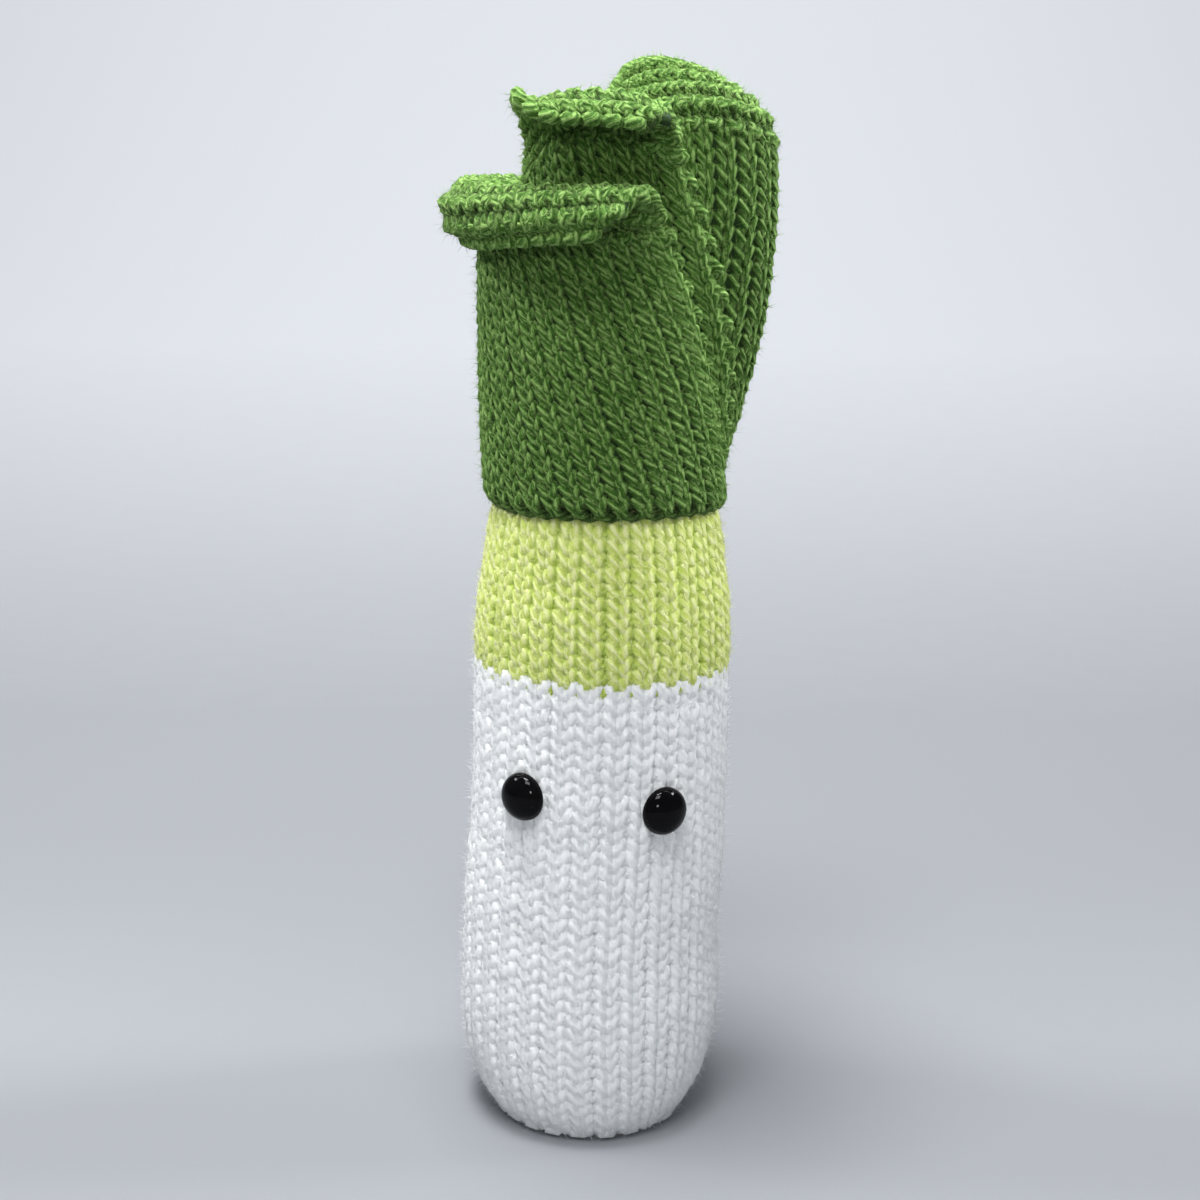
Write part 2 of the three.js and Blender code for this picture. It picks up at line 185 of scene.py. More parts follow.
def spline(values, place):
    """Catmull-Rom curve through evenly spaced values, with place from 0 to 1."""
    values = np.asarray(values, float)
    last = len(values) - 1
    x = np.clip(place, 0, 1) * last
    i = np.minimum(np.floor(x).astype(int), last - 1)
    f = x - i
    b, c = values[i], values[i + 1]
    a = np.where(i > 0, values[np.maximum(i - 1, 0)], 2 * b - c)
    d = np.where(i < last - 1, values[np.minimum(i + 2, last)], 2 * c - b)
    return 0.5 * (2 * b + (c - a) * f + (2 * a - 5 * b + 4 * c - d) * f**2 + (3 * (b - c) + d - a) * f**3)


def smooth(x):
    """A soft step from 0 to 1."""
    x = np.clip(x, 0, 1)
    return x * x * (3 - 2 * x)


def unit(vectors):
    return vectors / np.maximum(np.linalg.norm(vectors, axis=-1, keepdims=True), 1e-12)


def axis_shift(height):
    return spline(AXIS_SHIFT, np.asarray(height) / (AXIS_STEP * (len(AXIS_SHIFT) - 1)))


def around_axis(radius, azimuth, height):
    """Points round the stalk's leaning axis."""
    turn = np.radians(azimuth)
    x = axis_shift(height) + radius * np.sin(turn)
    return np.stack([x, -radius * np.cos(turn), height], -1)


def squeeze(azimuth, height):
    """How far the tube is pressed in."""
    pressed = 0
    for middle, level, width, band, depth in SQUEEZES:
        turn = (azimuth - middle + 180) % 360 - 180
        pressed = pressed + depth * np.exp(-((turn / width) ** 2) - ((height - level) / band) ** 2)
    return pressed


# Fabric surfaces: each is a function of across and up, from 0 to 1, that gives points in millimetres
def lathe_surface(outline, inset):
    """A surface of revolution round the leaning axis, inset from an outline.

    It comes with its length up the outline, and with a function from height to that length.
    """
    place = np.linspace(0, 1, OUTLINE_STEPS)
    height = spline([z for z, _ in outline], place)
    radius = spline([r for _, r in outline], place)
    slope = unit(np.stack([np.gradient(height), np.gradient(radius)], -1))
    height = height + inset * slope[:, 1]
    radius = radius - inset * slope[:, 0]
    along = np.concatenate([[0], np.cumsum(np.hypot(np.diff(height), np.diff(radius)))])
    length = along[-1]

    def surface(across, up):
        s = np.asarray(up) * length
        z = np.interp(s, along, height)
        r = np.interp(s, along, radius)
        start = FIRST_WALE + 180 + 180 / STALK_WALES
        azimuth = start - 360 * np.asarray(across)
        return around_axis(r - squeeze(azimuth, z), azimuth, z)

    return surface, length, lambda z: np.interp(z, height, along)


def leaf_surface(leaf):
    """The middle surface of a leaf, which follows each wale up from its foot."""

    def tilt_at(s, body, leans):
        place = np.minimum(s / body, 1) * (len(leans) - 1)
        tilt = leans[0]
        for i in range(len(leans) - 1):
            between = leans[i] + (leans[i + 1] - leans[i]) * smooth(place - i)
            tilt = np.where(place >= i, between, tilt)
        return tilt

    def surface(across, up):
        across, up = np.broadcast_arrays(np.asarray(across, float), np.asarray(up, float))
        across = 1 - across if leaf["from_left"] else across
        body = spline(leaf["body"], across)
        fold = spline(leaf["fold"], across)
        foot = spline(leaf["foot_azimuth"], across)
        rim = spline(leaf["rim_azimuth"], across)
        tip = spline(leaf["tip_azimuth"], across)
        leans = [spline(row, across) for row in leaf["lean"]]
        length = body + leaf["fold_length"] + leaf["flap"]
        distance = up * length
        step = distance / WALE_STEPS
        radius = spline(leaf["root"], across)
        height = spline(leaf["foot"], across)
        for k in range(WALE_STEPS):
            s = step * (k + 0.5)
            folded = np.clip((s - body) / leaf["fold_length"], 0, 1)
            tilt = np.radians(tilt_at(s, body, leans) + fold * folded)
            turning = np.where(s < body, (rim - foot) / body, (tip - rim) / (length - body))
            sideways = np.minimum(np.abs(radius * np.radians(turning)), STEEPEST)
            upright = np.sqrt(1 - sideways**2)
            radius = radius + np.sin(tilt) * upright * step
            height = height + np.cos(tilt) * upright * step
        on_body = np.minimum(distance / body, 1)
        on_flap = np.maximum(0, (distance - body) / (length - body))
        point = around_axis(radius, foot + (rim - foot) * on_body + (tip - rim) * on_flap, height)
        point[..., 0] += leaf["shift"][0] * smooth(on_body)
        point[..., 1] += leaf["shift"][1] * smooth(on_body)
        return point

    return surface


def on_fabric(surface, across, up, out):
    """Points at a distance out of a fabric's surface, run on straight past its edges, and normals."""
    step = 0.002
    a, v = np.clip(across, 0, 1), np.clip(up, 0, 1)
    a0, a1 = np.clip(a - step, 0, 1), np.clip(a + step, 0, 1)
    v0, v1 = np.clip(v - step, 0, 1), np.clip(v + step, 0, 1)
    by_across = (surface(a1, v) - surface(a0, v)) / (a1 - a0)[..., None]
    by_up = (surface(a, v1) - surface(a, v0)) / (v1 - v0)[..., None]
    normal = unit(np.cross(by_up, by_across))
    point = surface(a, v) + (across - a)[..., None] * by_across + (up - v)[..., None] * by_up
    return point + np.asarray(out)[..., None] * normal, normal


# Knitting
def stitch_noise(count, amount, at):
    """A value for each stitch of a row, blended from one to the next."""
    return np.interp(at, np.arange(count) + 0.5, RANDOM.normal(0, amount, count))


def wandering(wales):
    """Gives each row in turn how far each of its wales stands from its line."""
    places = RANDOM.normal(0, WANDER, wales)
    while True:
        places = WANDER_KEPT * places + RANDOM.normal(0, WANDER, wales)
        yield places


def loop_row(
    wales, up, row_height, depth, sway=LOOP_SWAY, swell=1.0, purl=False, lift=0.0, climb=0.0, places=None
):
    """One row of loops as (across, up, out, swell, front) columns.

    Front is 1 where the yarn lies at the outside of the fabric, and -1 where it lies at the inside. Purl
    turns the loops' backs to the front, and climb is how many rows the row climbs on its way round.
    """
    at = np.linspace(0, wales, wales * SAMPLES + 1)
    t = 2 * np.pi * (at - 0.5)
    side = at + sway * np.sin(2 * t) * (1 + stitch_noise(wales, UNEVEN["sway"], at))
    side += stitch_noise(wales, UNEVEN["side"], at)
    side -= GATHER * np.sin(t)
    if places is not None:
        side += np.interp(at, np.arange(wales) + 0.5, places)
    rise = LOOP_HEIGHT * np.cos(t) * (1 + stitch_noise(wales, UNEVEN["height"], at))
    rise += stitch_noise(wales, UNEVEN["rise"], at)
    front = -np.cos(2 * t) * (-1 if purl else 1)
    out = depth * front + lift + stitch_noise(wales, UNEVEN["out"], at)
    swell = swell + stitch_noise(wales, UNEVEN["swell"], at)
    height = up + (rise + climb * at / wales) * row_height
    return np.stack([side / wales, height, out, swell, front], -1)


def turn_between(last, first, wales):
    """The short bow of yarn at the selvedge from the end of one row to the start of the next."""
    s = np.linspace(0, 1, SELVEDGE_POINTS + 2)[1:-1, None]
    bow = last + (first - last) * s
    outward = SELVEDGE_BOW / wales * np.sin(np.pi * s[:, 0])
    bow[:, 0] += outward if last[0] > 0.5 else -outward
    bow[:, 2] += LEAF_DEPTH * np.sin(np.pi * s[:, 0])
    return bow


def flat_rows(wales, body_rows, ridges, border):
    """Rows knitted back and forth: stocking stitch on the body, then garter stitch on the border."""
    rows = []
    column = wandering(wales)
    body_height = (1 - border) / body_rows
    for j in range(body_rows):
        up = (j + 0.5) * body_height
        rows.append(loop_row(wales, up, body_height, LEAF_DEPTH, LEAF_SWAY, places=next(column)))
    border_height = border / (2 * ridges)
    for j in range(2 * ridges):
        purl = j % 2 == 0
        lift = GARTER_LIFT if purl else -GARTER_LIFT
        up = 1 - border + (j + 0.5) * border_height
        shape = (GARTER_DEPTH, GARTER_SWAY, GARTER_SWELL)
        row = loop_row(wales, up, border_height, *shape, purl=purl, lift=lift, places=next(column))
        pulled_in = CORNER_PULL * ((j + 1) / (2 * ridges)) ** 3 / wales
        row[:, 0] = 0.5 + (row[:, 0] - 0.5) * (1 - 2 * pulled_in)
        rows.append(row)
    rows = [row if j % 2 == 0 else row[::-1] for j, row in enumerate(rows)]
    joined = []
    for j, row in enumerate(rows):
        if j + 1 < len(rows):
            row = np.concatenate([row, turn_between(row[-1], rows[j + 1][0], wales)])
        joined.append(row)
    return joined


# Meshes
def mesh_object(name, points, faces):
    """A smooth-shaded object in metres, from points in millimetres."""
    mesh = bpy.data.meshes.new(name)
    mesh.from_pydata((np.asarray(points) * MM).tolist(), [], faces)
    mesh.validate()
    mesh.polygons.foreach_set("use_smooth", [True] * len(mesh.polygons))
    mesh.update()
    piece = bpy.data.objects.new(name, mesh)
    bpy.context.scene.collection.objects.link(piece)
    return piece


def grid_faces(rows, columns, closed_columns=False):
    """The quads of a grid of points, which closed_columns joins into a ring."""
    across = columns if closed_columns else columns - 1
    r = np.arange(rows - 1)[:, None]
    c = np.arange(across)[None, :]
    n = (c + 1) % columns
    a, b = r * columns + c, r * columns + n
    return np.stack([a, b, b + columns, a + columns], -1).reshape(-1, 4)


def yarn_tube(name, surface, rows, thickness=YARN, edge_wales=0):
    """A closed tube along rows of loops, with its centre line, the three ways there and its radius.

    A fabric with free edges says how many stitches it has across, as edge_wales.
    """
    path = np.concatenate(rows)
    centre, normal = on_fabric(surface, path[:, 0], path[:, 1], path[:, 2])
    radius = thickness * path[:, 3]
    centre[:, 2] = np.maximum(centre[:, 2], radius)  # the base is pressed flat where it stands
    forward = unit(np.gradient(centre, axis=0))
    side = unit(np.cross(forward, normal))
    out = np.cross(side, forward)
    angle = 2 * np.pi * np.arange(SIDES) / SIDES
    spoke = np.cos(angle)[None, :, None] * out[:, None] + np.sin(angle)[None, :, None] * side[:, None]
    points = (centre[:, None] + radius[:, None, None] * spoke).reshape(-1, 3)
    quads = grid_faces(len(path), SIDES, closed_columns=True)
    ends = [list(range(SIDES - 1, -1, -1)), list(range(len(points) - SIDES, len(points)))]
    piece = mesh_object(name, points, quads.tolist() + ends)
    counts = [len(row) for row in rows]
    lay_out_strips(piece, counts)
    mark_painted_shade(piece, path, counts[-1], angle, edge_wales)
    return piece, (centre, forward, side, out, radius)


def lay_out_strips(piece, counts):
    """The yarn's map: a strip for each row, with the way along the yarn in U and the way round it in V."""
    quads = sum(counts) - 1
    strip = np.repeat(np.arange(len(counts)), counts)[:quads]
    start = np.repeat(np.cumsum([0] + counts[:-1]), counts)[:quads]
    size = np.repeat(counts, counts)[:quads]
    k = np.arange(quads)
    i = np.arange(SIDES)
    low = (strip[:, None] + i / SIDES) / len(counts)
    high = (strip[:, None] + (i + 1) / SIDES) / len(counts)
    before = np.broadcast_to(((k - start) / size)[:, None], low.shape)
    after = np.broadcast_to(((k + 1 - start) / size)[:, None], low.shape)
    corners = np.stack([before, low, before, high, after, high, after, low], -1).reshape(-1)
    layer = piece.data.uv_layers.new(name="OFBake")
    uv = np.zeros(len(piece.data.loops) * 2)
    uv[: len(corners)] = corners
    layer.data.foreach_set("uv", uv)


def mark_painted_shade(piece, path, last_count, angle, edge_wales):
    """Painted shade, as an attribute: 1 on skin that neighbouring stitches hide from the light, 0 at free
    edges.
    """
    covered = np.ones(len(path))
    if edge_wales:
        covered = smooth(np.minimum(path[:, 0], 1 - path[:, 0]) * edge_wales - EDGE_OPEN)
    covered[-last_count:] = 0
    painted_flank_shade = np.sin(angle)[None, :] ** 2
    sunk = 0.5 - 0.5 * np.cos(angle)[None, :] * path[:, 4:5]
    hidden = covered[:, None] * (1 - (1 - painted_flank_shade) * (1 - SUNK_SHADE * sunk**SUNK_POWER))
    between = piece.data.attributes.new("PaintedShade", "FLOAT", "POINT")
    between.data.foreach_set("value", hidden.reshape(-1))


def rooted(tube, count, behind):
    """Places in a yarn's skin, a share of them on the side behind, with the ways out and along there."""
    centre, forward, side, out, radius = tube
    k = RANDOM.integers(0, len(centre), count)
    angle = RANDOM.normal(0, 1.0, count) + np.pi * (RANDOM.random(count) < behind)
    outward = np.cos(angle)[:, None] * out[k] + np.sin(angle)[:, None] * side[k]
    return centre[k] + ROOT_DEPTH * radius[k, None] * outward, outward, forward[k]


def slivers(root, heading, reach, half):
    """Closed three-sided slivers that taper to a point, all above the surface that the toy stands on."""
    one = unit(np.cross(heading, RANDOM.normal(0, 1, root.shape)))
    two = np.cross(heading, one)
    turns = 2 * np.pi * np.arange(3) / 3
    corners = [root + half * (np.cos(turn) * one + np.sin(turn) * two) for turn in turns]
    corners.append(root + reach * heading)
    points = np.stack(corners, 1).reshape(-1, 3)
    points[:, 2] = np.maximum(points[:, 2], FLOOR_GAP)
    base = 4 * np.arange(len(root))[:, None, None]
    faces = base + np.array([[0, 2, 1], [0, 1, 3], [1, 2, 3], [2, 0, 3]])
    return points, faces.reshape(-1, 3)


def combed(outward, forward, kind):
    """Headings of fibres that leave the yarn's skin: out of it, along the yarn and across it."""
    way = np.where(RANDOM.random(len(outward)) < 0.5, 1, -1)[:, None]
    heading = unit(kind["along"] * way * forward + kind["tangle"] * RANDOM.normal(0, 1, outward.shape))
    inward = np.minimum((heading * outward).sum(1), 0)[:, None]
    return unit(heading - inward * outward + kind["lift"] * outward)


def fuzz(name, tube, stitches, behind=0.0):
    """The wool's own fibres, a share of them on the side behind."""
    points = []
    faces = []
    for kind in FIBRES:
        root, outward, forward = rooted(tube, kind["count"] * stitches, behind)
        heading = combed(outward, forward, kind)
        reach = RANDOM.uniform(*kind["reach"], len(root))[:, None]
        kind_points, kind_faces = slivers(root, heading, reach, kind["half"])
        faces.append(kind_faces + sum(len(made) for made in points))
        points.append(kind_points)
    return mesh_object(name, np.concatenate(points), np.concatenate(faces).tolist())


def sheet_core(name, surface, half, columns=34, rows=46, inset=0.03):
    """A thin closed sheet behind a leaf's stitches."""
    a = np.linspace(inset, 1 - inset, columns)
    v = np.linspace(inset, 1 - inset, rows)
    across, up = np.meshgrid(a, v)
    outer, _ = on_fabric(surface, across, up, np.full(across.shape, half))
    inner, _ = on_fabric(surface, across, up, np.full(across.shape, -half))
    points = np.concatenate([outer.reshape(-1, 3), inner.reshape(-1, 3)])
    faces = grid_faces(rows, columns)
    back = rows * columns
    rim = list(range(columns)) + [r * columns + columns - 1 for r in range(1, rows)]
    rim += list(range(rows * columns - 2, (rows - 1) * columns - 1, -1))
    rim += [r * columns for r in range(rows - 2, 0, -1)]
    walls = [[p, q, q + back, p + back] for p, q in zip(rim, rim[1:] + rim[:1])]
    return mesh_object(name, points, faces[:, ::-1].tolist() + (faces + back).tolist() + walls)


def lathe_solid(name, surface, columns=64, rows=60):
    """A closed solid of revolution with flat ends."""
    across, up = np.meshgrid(np.arange(columns) / columns, np.linspace(0, 1, rows))
    points = surface(across, up).reshape(-1, 3)
    faces = grid_faces(rows, columns, closed_columns=True)[:, ::-1]
    ends = [list(range(columns)), list(range(len(points) - 1, len(points) - columns - 1, -1))]
    return mesh_object(name, points, faces.tolist() + ends)


def lathe_tube(name, outer, inner, low, high, columns=72, rows=24):
    """A closed tube with an outer and an inner wall, over a share of the surfaces' length."""
    across, up = np.meshgrid(np.arange(columns) / columns, np.linspace(low, high, rows))
    points = np.concatenate([outer(across, up), inner(across, up)[::-1], outer(across[:1], up[:1])])
    faces = grid_faces(2 * rows + 1, columns, closed_columns=True)[:, ::-1] % (2 * rows * columns)
    return mesh_object(name, points.reshape(-1, 3)[: 2 * rows * columns], faces.tolist())


# Materials
def srgb(red, green, blue):
    channels = np.array([red, green, blue]) / 255
    linear = np.where(channels <= 0.04045, channels / 12.92, ((channels + 0.055) / 1.055) ** 2.4)
    return (*linear.tolist(), 1.0)


BLACK = (0, 0, 0, 1)
FULL_WHITE = (1, 1, 1, 1)


class Nodes:
    """Short forms for building one material's node tree."""

    def __init__(self, name):
        self.material = bpy.data.materials.new(name)
        self.material.use_nodes = True
        self.tree = self.material.node_tree
        self.tree.nodes.clear()
        output = self.tree.nodes.new("ShaderNodeOutputMaterial")
        self.shader = self.tree.nodes.new("ShaderNodeBsdfPrincipled")
        self.link(self.shader.outputs[0], output.inputs["Surface"])

    def link(self, source, target):
        self.tree.links.new(source, target)

    def put(self, value, socket):
        if isinstance(value, bpy.types.NodeSocket):
            self.link(value, socket)
        else:
            socket.default_value = value

    def math(self, operation, a, b=0.0):
        node = self.tree.nodes.new("ShaderNodeMath")
        node.operation = operation
        self.put(a, node.inputs[0])
        self.put(b, node.inputs[1])
        return node.outputs[0]

    def weighted_sum(self, *terms):
        """The sum of each value times its weight."""
        total = None
        for value, weight in terms:
            part = self.math("MULTIPLY", value, weight)
            total = part if total is None else self.math("ADD", total, part)
        return total

    def coordinates(self):
        return self.tree.nodes.new("ShaderNodeTexCoord").outputs["Object"]

    def noise(self, vector, scale, detail=2.0, roughness=0.5):
        node = self.tree.nodes.new("ShaderNodeTexNoise")
        self.put(vector, node.inputs["Vector"])
        node.inputs["Scale"].default_value = scale
        node.inputs["Detail"].default_value = detail
        node.inputs["Roughness"].default_value = roughness
        return node.outputs["Fac"]

    def ramp(self, factor, *stops):
        node = self.tree.nodes.new("ShaderNodeValToRGB")
        elements = node.color_ramp.elements
        while len(elements) < len(stops):
            elements.new(0.5)
        for element, (place, color) in zip(elements, stops):
            element.position = place
            element.color = color
        self.put(factor, node.inputs["Fac"])
        return node.outputs["Color"]

    def mix(self, factor, a, b):
        node = self.tree.nodes.new("ShaderNodeMix")
        node.data_type = "RGBA"
        self.put(factor, node.inputs[0])
        self.put(a, node.inputs[6])
        self.put(b, node.inputs[7])
        return node.outputs[2]

    def bump(self, height, distance):
        node = self.tree.nodes.new("ShaderNodeBump")
        node.inputs["Distance"].default_value = distance
        self.put(height, node.inputs["Height"])
        self.link(node.outputs["Normal"], self.shader.inputs["Normal"])

    def set(self, **values):
        """Sets the shader's sockets, with their names' spaces written as underscores."""
        for name, value in values.items():
            self.put(value, self.shader.inputs[name.replace("_", " ")])
        return self.material


# The yarn: its plies, how far they lead in one turn and how much of it each stitch takes
PLIES = 4
PLY_LEAD = 5.0
YARN_PER_STITCH = 8.6
# Streaks of fibre: how many there are to a length of yarn, and how many round it
STREAKS_ALONG = 0.35
STREAKS_ROUND = 14.0


def yarn_material(name, yarn, wales, rows):
    """Plied wool: twisted plies, fibre streaks along them, painted light and shade between the stitches."""
    n = Nodes(name)
    place = n.tree.nodes.new("ShaderNodeSeparateXYZ")
    uv = n.tree.nodes.new("ShaderNodeUVMap")
    uv.uv_map = "OFBake"
    n.link(uv.outputs[0], place.inputs[0])
    turns = n.math("MULTIPLY", place.outputs[0], wales * YARN_PER_STITCH / PLY_LEAD)
    around = n.math("MULTIPLY", place.outputs[1], float(rows))
    phase = n.math("ADD", turns, around)
    ply = n.math("SINE", n.math("MULTIPLY", phase, 2 * np.pi * PLIES))
    along = n.math("MULTIPLY", place.outputs[0], wales * YARN_PER_STITCH * STREAKS_ALONG)
    fibre_place = n.tree.nodes.new("ShaderNodeCombineXYZ")
    n.link(along, fibre_place.inputs[0])
    n.link(n.math("MULTIPLY", phase, STREAKS_ROUND), fibre_place.inputs[1])
    fibre = n.noise(fibre_place.outputs[0], scale=2.0, detail=3.0, roughness=0.65)
    tangle = n.noise(n.coordinates(), scale=2600.0, roughness=0.6)
    patch = n.noise(n.coordinates(), scale=420.0)
    shade = n.weighted_sum((ply, 0.07), (fibre, 0.6), (tangle, 0.25), (patch, 0.15))
    color = n.ramp(shade, (0.4, yarn["dark"]), (0.5, yarn["middle"]), (0.6, yarn["light"]))
    # Painted shade on skin hidden between the stitches, from the attribute; on the white, painted fill light
    between = n.tree.nodes.new("ShaderNodeAttribute")
    between.attribute_name = "PaintedShade"
    painted_flank_shade = n.ramp(between.outputs["Fac"], (0.3, BLACK), (1.0, FULL_WHITE))
    color = n.mix(painted_flank_shade, color, yarn["painted_gap"])
    n.bump(n.weighted_sum((ply, yarn["ply"]), (fibre, 0.8), (tangle, 0.7)), yarn["relief"] * MM)
    return soft(n, color, yarn)


def fibre_material(name, yarn):
    """The loose fibres, a little lighter and darker in patches."""
    n = Nodes(name)
    patch = n.noise(n.coordinates(), scale=900.0)
    return soft(n, n.ramp(patch, (0.35, yarn["middle"]), (0.65, yarn["light"])), yarn)


def soft(n, color, yarn):
    """Wool's finish: its fibres catch light at a glancing angle."""
    return n.set(
        Base_Color=color, Roughness=0.9, Specular_IOR_Level=0.25,
        Sheen_Weight=yarn["sheen"], Sheen_Roughness=0.45, Sheen_Tint=yarn["light"],
    )


def felt_material(name, dark, light):
    """A mat of fibres in two colours; the mats between the stitches get painted shade colours."""
    n = Nodes(name)
    fibre = n.noise(n.coordinates(), scale=1500.0, detail=4.0, roughness=0.7)
    n.bump(fibre, 0.3 * MM)
    return n.set(Base_Color=n.ramp(fibre, (0.3, dark), (0.7, light)), Roughness=0.95)


def eye_material():
    """Polished black plastic with faint moulding ripple."""
    n = Nodes("eye_plastic")
    ripple = n.noise(n.coordinates(), scale=260.0, detail=1.0)
    n.bump(ripple, 0.02 * MM)
    color = n.ramp(ripple, (0.3, srgb(6, 6, 8)), (0.7, srgb(12, 11, 12)))
    return n.set(Base_Color=color, Roughness=0.06, Specular_IOR_Level=0.1)


def plain_material(name, dark, light, roughness, scale):
    """A matt material with a fine grain."""
    n = Nodes(name)
    grain = n.noise(n.coordinates(), scale, detail=4.0)
    n.bump(grain, 0.05 * MM)
    return n.set(Base_Color=n.ramp(grain, (0.3, dark), (0.7, light)), Roughness=roughness)


# Each yarn's colours, with the gap colour painted between its stitches (painted shade on the lime and green,
# a painted fill light on the white), the depth of its plies and its relief, and its sheen
WHITE = dict(
    painted_gap=srgb(243, 245, 246), dark=srgb(232, 236, 238), middle=srgb(242, 245, 246),
    light=srgb(250, 251, 252), ply=0.2, relief=0.12, sheen=0.3,
)
LIME = dict(
    painted_gap=srgb(178, 204, 78), dark=srgb(198, 216, 104), middle=srgb(224, 235, 144),
    light=srgb(240, 245, 186), ply=0.4, relief=0.18, sheen=0.3,
)
GREEN = dict(
    painted_gap=srgb(12, 34, 2), dark=srgb(44, 84, 20), middle=srgb(86, 127, 50),
    light=srgb(147, 181, 104), ply=0.5, relief=0.22, sheen=0.5,
)


# Pieces
def dress(piece, material, replaces=()):
    piece.data.materials.append(material)
    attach(piece, "root")
    if replaces:
        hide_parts(*replaces)
    return piece


def make_stalk():
    """The knitted tube, which spirals up without a seam, with its fibres, its mat and its filling."""
    surface, length, along = lathe_surface(STALK_OUTLINE, TO_CENTRE)
    change = along(FIRST_LIME_ROW)
    below = int(change / STALK_ROW)
    above = int((length - change) / STALK_ROW)
    row = STALK_ROW / length
    column = wandering(STALK_WALES)

    def rounds(first, last):
        made = []
        for k in range(first, last):
            up = (change + (k - 0.5) * STALK_ROW) / length
            made.append(loop_row(STALK_WALES, up, row, LOOP_DEPTH, climb=1.0, places=next(column))[:-1])
        return made

    mat_outer, _, _ = lathe_surface(STALK_OUTLINE, TO_CENTRE - MAT_LIFT)
    mat_inner, _, _ = lathe_surface(STALK_OUTLINE, TO_CENTRE - MAT_LIFT + MAT_THICKNESS)
    border = change / length
    parts = (
        ("white", rounds(-below, 0), WHITE, (0.0, border)),
        ("lime", rounds(0, above), LIME, (border, 1.0)),
    )
    for name, rows, yarn, reach in parts:
        # The mat shows the yarn's painted shade colours between the stitches.
        mat = lathe_tube(f"stalk_{name}_mat", mat_outer, mat_inner, *reach)
        dress(mat, felt_material(f"{name}_felt", yarn["painted_gap"], yarn["dark"]))
        knit, tube = yarn_tube(f"stalk_{name}_knit", surface, rows)
        material = yarn_material(f"{name}_yarn", yarn, STALK_WALES, len(rows))
        dress(knit, material, [f"stalk_{name}"])
        fibres = fuzz(f"stalk_{name}_fuzz", tube, STALK_WALES * len(rows))
        dress(fibres, fibre_material(f"{name}_fibre", yarn))
    inside, _, _ = lathe_surface(STALK_OUTLINE, TO_CENTRE - MAT_LIFT + MAT_THICKNESS + FILLING_GAP)
    filling = lathe_solid("stalk_filling", inside)
    felt = felt_material("stuffing_felt", srgb(205, 210, 200), srgb(238, 240, 232))
    dress(filling, felt, ["stuffing"])


def make_neck():
    """The gathered top of the lime tube, which the leaves wrap."""
    surface, length, _ = lathe_surface(NECK_OUTLINE, TO_CENTRE)
    count = int(length / STALK_ROW)
    column = wandering(NECK_WALES)
    rows = []
    for j in range(count):
        up = (j + 0.5) / count
        row = loop_row(NECK_WALES, up, 1 / count, LOOP_DEPTH, climb=1.0, places=next(column))
        rows.append(row[:-1])
    knit, _ = yarn_tube("stalk_neck_knit", surface, rows)
    dress(knit, yarn_material("neck_yarn", LIME, NECK_WALES, count))
    # The neck's mat shows the lime's painted shade colours between the stitches.
    mat = lathe_solid("stalk_neck_mat", surface)
    dress(mat, felt_material("neck_painted_shade_felt", LIME["painted_gap"], LIME["dark"]))


def make_leaf(name, fibre_green, felt):
    """A leaf's knitting and fibres, on a thin felted sheet for its solid, dark with painted shade."""
    leaf = LEAVES[name]
    surface = leaf_surface(leaf)
    rows = flat_rows(leaf["wales"], leaf["rows"], leaf["ridges"], leaf["border"])
    knit, tube = yarn_tube(f"leaf_{name}_knit", surface, rows, LEAF_YARN, edge_wales=leaf["wales"])
    dress(knit, yarn_material(f"leaf_{name}_yarn", GREEN, leaf["wales"], len(rows)))
    fibres = fuzz(f"leaf_{name}_fuzz", tube, leaf["wales"] * len(rows), behind=LEAF_BEHIND)
    dress(fibres, fibre_green)
    # The core's nearly black felt is painted shade behind and between the stitches.
    core = sheet_core(f"leaf_{name}_core", surface, CORE_HALF)
    dress(core, felt, [f"leaf_{name}"])


def make_eye(side, material):
    """The dome, from the edge that the fabric hides to its front."""
    rise = np.linspace(0, np.pi / 2, EYE_RINGS)[:-1]
    turn = 2 * np.pi * np.arange(EYE_SIDES) / EYE_SIDES
    radius = np.concatenate([[EYE_RADIUS * EYE_WAIST], EYE_RADIUS * np.cos(rise)])
    out = np.concatenate([[-EYE_SUNK], EYE_HEIGHT * np.sin(rise)])
    local = np.stack([
        radius[:, None] * np.cos(turn),
        radius[:, None] * np.sin(turn),
        np.broadcast_to(out[:, None], (EYE_RINGS, EYE_SIDES)),
    ], -1).reshape(-1, 3)
    local = np.concatenate([local, [[0, 0, EYE_HEIGHT]]])
    azimuth, height = EYE_PLACES[side]
    direction = np.radians(azimuth)
    right = np.array([np.cos(direction), np.sin(direction), 0])
    facing = np.array([np.sin(direction), -np.cos(direction), 0])
    up = np.array([0, 0, 1])
    seat = np.array([axis_shift(height), 0, height]) + EYE_BACK * facing
    points = seat + local[:, :1] * right + local[:, 1:2] * up + local[:, 2:] * facing
    faces = grid_faces(EYE_RINGS, EYE_SIDES, closed_columns=True).tolist()
    tip = len(points) - 1
    last = (EYE_RINGS - 1) * EYE_SIDES
    faces += [[last + i, last + (i + 1) % EYE_SIDES, tip] for i in range(EYE_SIDES)]
    faces.append(list(range(EYE_SIDES - 1, -1, -1)))
    eye = mesh_object(f"eye_dome_{side}", points, faces)
    dress(eye, material, [f"eye_{side}"])


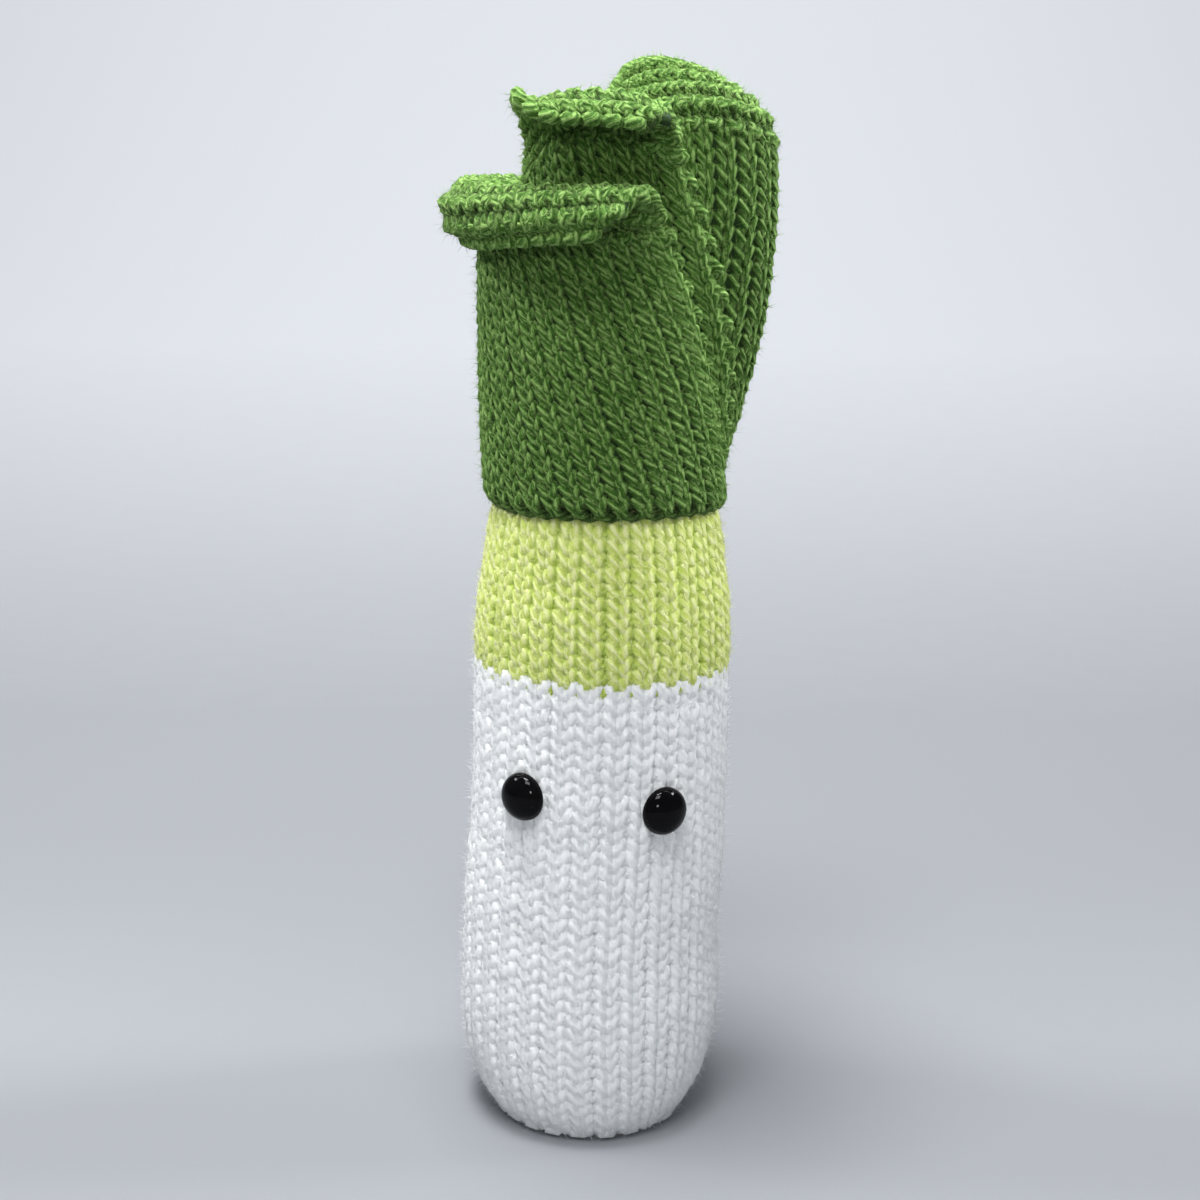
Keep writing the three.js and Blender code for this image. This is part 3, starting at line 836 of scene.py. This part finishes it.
def make_base():
    """Rounds of stitches that close the bottom, flat on the surface that the toy stands on."""

    def surface(across, up):
        azimuth = 360 * np.asarray(across)
        radius = np.asarray(up) * (BASE_REACH - squeeze(azimuth, 0))
        return around_axis(radius, azimuth, np.full(np.shape(radius), BASE_HEIGHT))

    row = BASE_ROW / BASE_REACH
    rows = [loop_row(wales, radius / BASE_REACH, row, BASE_DEPTH) for radius, wales in BASE_ROUNDS]
    knit, _ = yarn_tube("base_knit", surface, rows)
    dress(knit, yarn_material("base_yarn", WHITE, BASE_WALES, len(rows)), ["base_disc"])


def finish_hidden_nodes():
    """Procedural materials for the pieces inside that stay as they are."""
    card = plain_material("card", srgb(150, 130, 100), srgb(190, 168, 135), roughness=0.9, scale=900.0)
    washer_colors = (srgb(205, 202, 192), srgb(225, 222, 214))
    washer = plain_material("washer_plastic", *washer_colors, roughness=0.5, scale=400.0)
    for name, material in (("base_card", card), ("eye_washer_left", washer), ("eye_washer_right", washer)):
        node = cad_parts[name]
        node.data.materials.clear()
        node.data.materials.append(material)


# The floor and the backdrop that it curves up into, in metres
STAGE_HALF_WIDTH = 3.0
STAGE_NEAR = -2.0
STAGE_BEND = 0.5
STAGE_CURVE = 1.5
STAGE_TOP = 3.0
STAGE_STEPS = 48


def make_stage():
    """A pale floor that curves up into a backdrop, painted lighter towards it against the lamps' fall-off.
    """
    profile = [(STAGE_NEAR, 0.0)]
    for turn in np.linspace(0, np.pi / 2, STAGE_STEPS):
        profile.append((STAGE_BEND + STAGE_CURVE * np.sin(turn), STAGE_CURVE * (1 - np.cos(turn))))
    profile.append((STAGE_BEND + STAGE_CURVE, STAGE_TOP))
    points = [(x, y, z) for y, z in profile for x in (-STAGE_HALF_WIDTH, STAGE_HALF_WIDTH)]
    floor = mesh_object("floor", np.array(points) / MM, grid_faces(len(profile), 2).tolist())
    n = Nodes("pale_floor")
    place = n.tree.nodes.new("ShaderNodeSeparateXYZ")
    n.link(n.coordinates(), place.inputs[0])
    grain = n.math("MULTIPLY", n.noise(n.coordinates(), scale=60.0, detail=3.0), 0.05)
    away = n.math("ADD", place.outputs[1], grain)
    # Painted light: darker near the toy, where the lamps fall strongest, lighter up the backdrop.
    shade = n.ramp(away, (0.3, srgb(138, 141, 146)), (1.0, srgb(176, 179, 184)))
    floor.data.materials.append(n.set(Base_Color=shade, Roughness=0.9))


def make_light(name, place, target, size, power, spread=180):
    """A rectangular light at a place in metres, of a size in metres and a power in watts."""
    lamp = bpy.data.lights.new(name, "AREA")
    lamp.spread = np.radians(spread)
    lamp.shape = "RECTANGLE"
    lamp.size, lamp.size_y = size
    lamp.energy = power
    holder = bpy.data.objects.new(name, lamp)
    holder.location = place
    holder.rotation_euler = (Vector(target) - Vector(place)).to_track_quat("-Z", "Y").to_euler()
    bpy.context.scene.collection.objects.link(holder)


def make_lights():
    """Soft light from above and the front, with a little on each side of the leaves."""
    world = bpy.data.worlds.new("soft_studio")
    world.use_nodes = True
    background = world.node_tree.nodes["Background"]
    background.inputs["Color"].default_value = (0.94, 0.97, 1.0, 1.0)
    background.inputs["Strength"].default_value = 0.16
    bpy.context.scene.world = world
    middle = (0, 0, 0.1)
    leaves = (0, 0, 0.18)
    make_light("softbox_top", (-0.1, -0.05, 1.1), middle, (0.3, 0.3), 13.0)
    make_light("softbox_front", (-0.1, -0.5, 1.05), middle, (0.4, 0.3), 6.2)
    make_light("window_front", (0.03, -0.85, 0.4), middle, (0.12, 0.12), 1.4)
    make_light("rim_right", (0.32, 0.06, 0.42), leaves, (0.15, 0.15), 0.1, spread=26)
    make_light("rim_left", (-0.3, 0.06, 0.42), leaves, (0.15, 0.15), 0.06, spread=26)
    make_light("backdrop_glow", (0.0, 0.3, 1.6), (0, 2.0, 1.1), (2.0, 0.8), 49.0)
    bpy.context.scene.view_settings.view_transform = "Standard"


# The photograph's camera
CAMERA_PLACE = (0.75, -334.0, 168.0)
CAMERA_PITCH = 11.8
CAMERA_ROLL = 0.3
CAMERA_LENS = 55.2
CAMERA_SENSOR = 36.0


def make_camera():
    lens = bpy.data.cameras.new("camera")
    lens.lens = CAMERA_LENS
    lens.sensor_width = CAMERA_SENSOR
    lens.clip_start = 10 * MM
    camera = bpy.data.objects.new("camera", lens)
    tilt = Matrix.Rotation(np.radians(90 - CAMERA_PITCH), 4, "X")
    roll = Matrix.Rotation(np.radians(CAMERA_ROLL), 4, "Z")
    camera.matrix_world = Matrix.Translation(Vector(CAMERA_PLACE) * MM) @ tilt @ roll
    bpy.context.scene.collection.objects.link(camera)
    bpy.context.scene.camera = camera


make_camera()
make_stage()
make_lights()
make_stalk()
make_neck()
make_base()
leaf_fibre = fibre_material("leaf_fibre", GREEN)
# The leaf cores' nearly black green felt is painted shade between the stitches.
leaf_painted_shade_felt = felt_material("leaf_painted_shade_felt", srgb(16, 40, 6), srgb(38, 72, 18))
for leaf_name in LEAVES:
    make_leaf(leaf_name, leaf_fibre, leaf_painted_shade_felt)
dome_plastic = eye_material()
for eye_side in EYE_PLACES:
    make_eye(eye_side, dome_plastic)
finish_hidden_nodes()

bpy.context.view_layer.update()
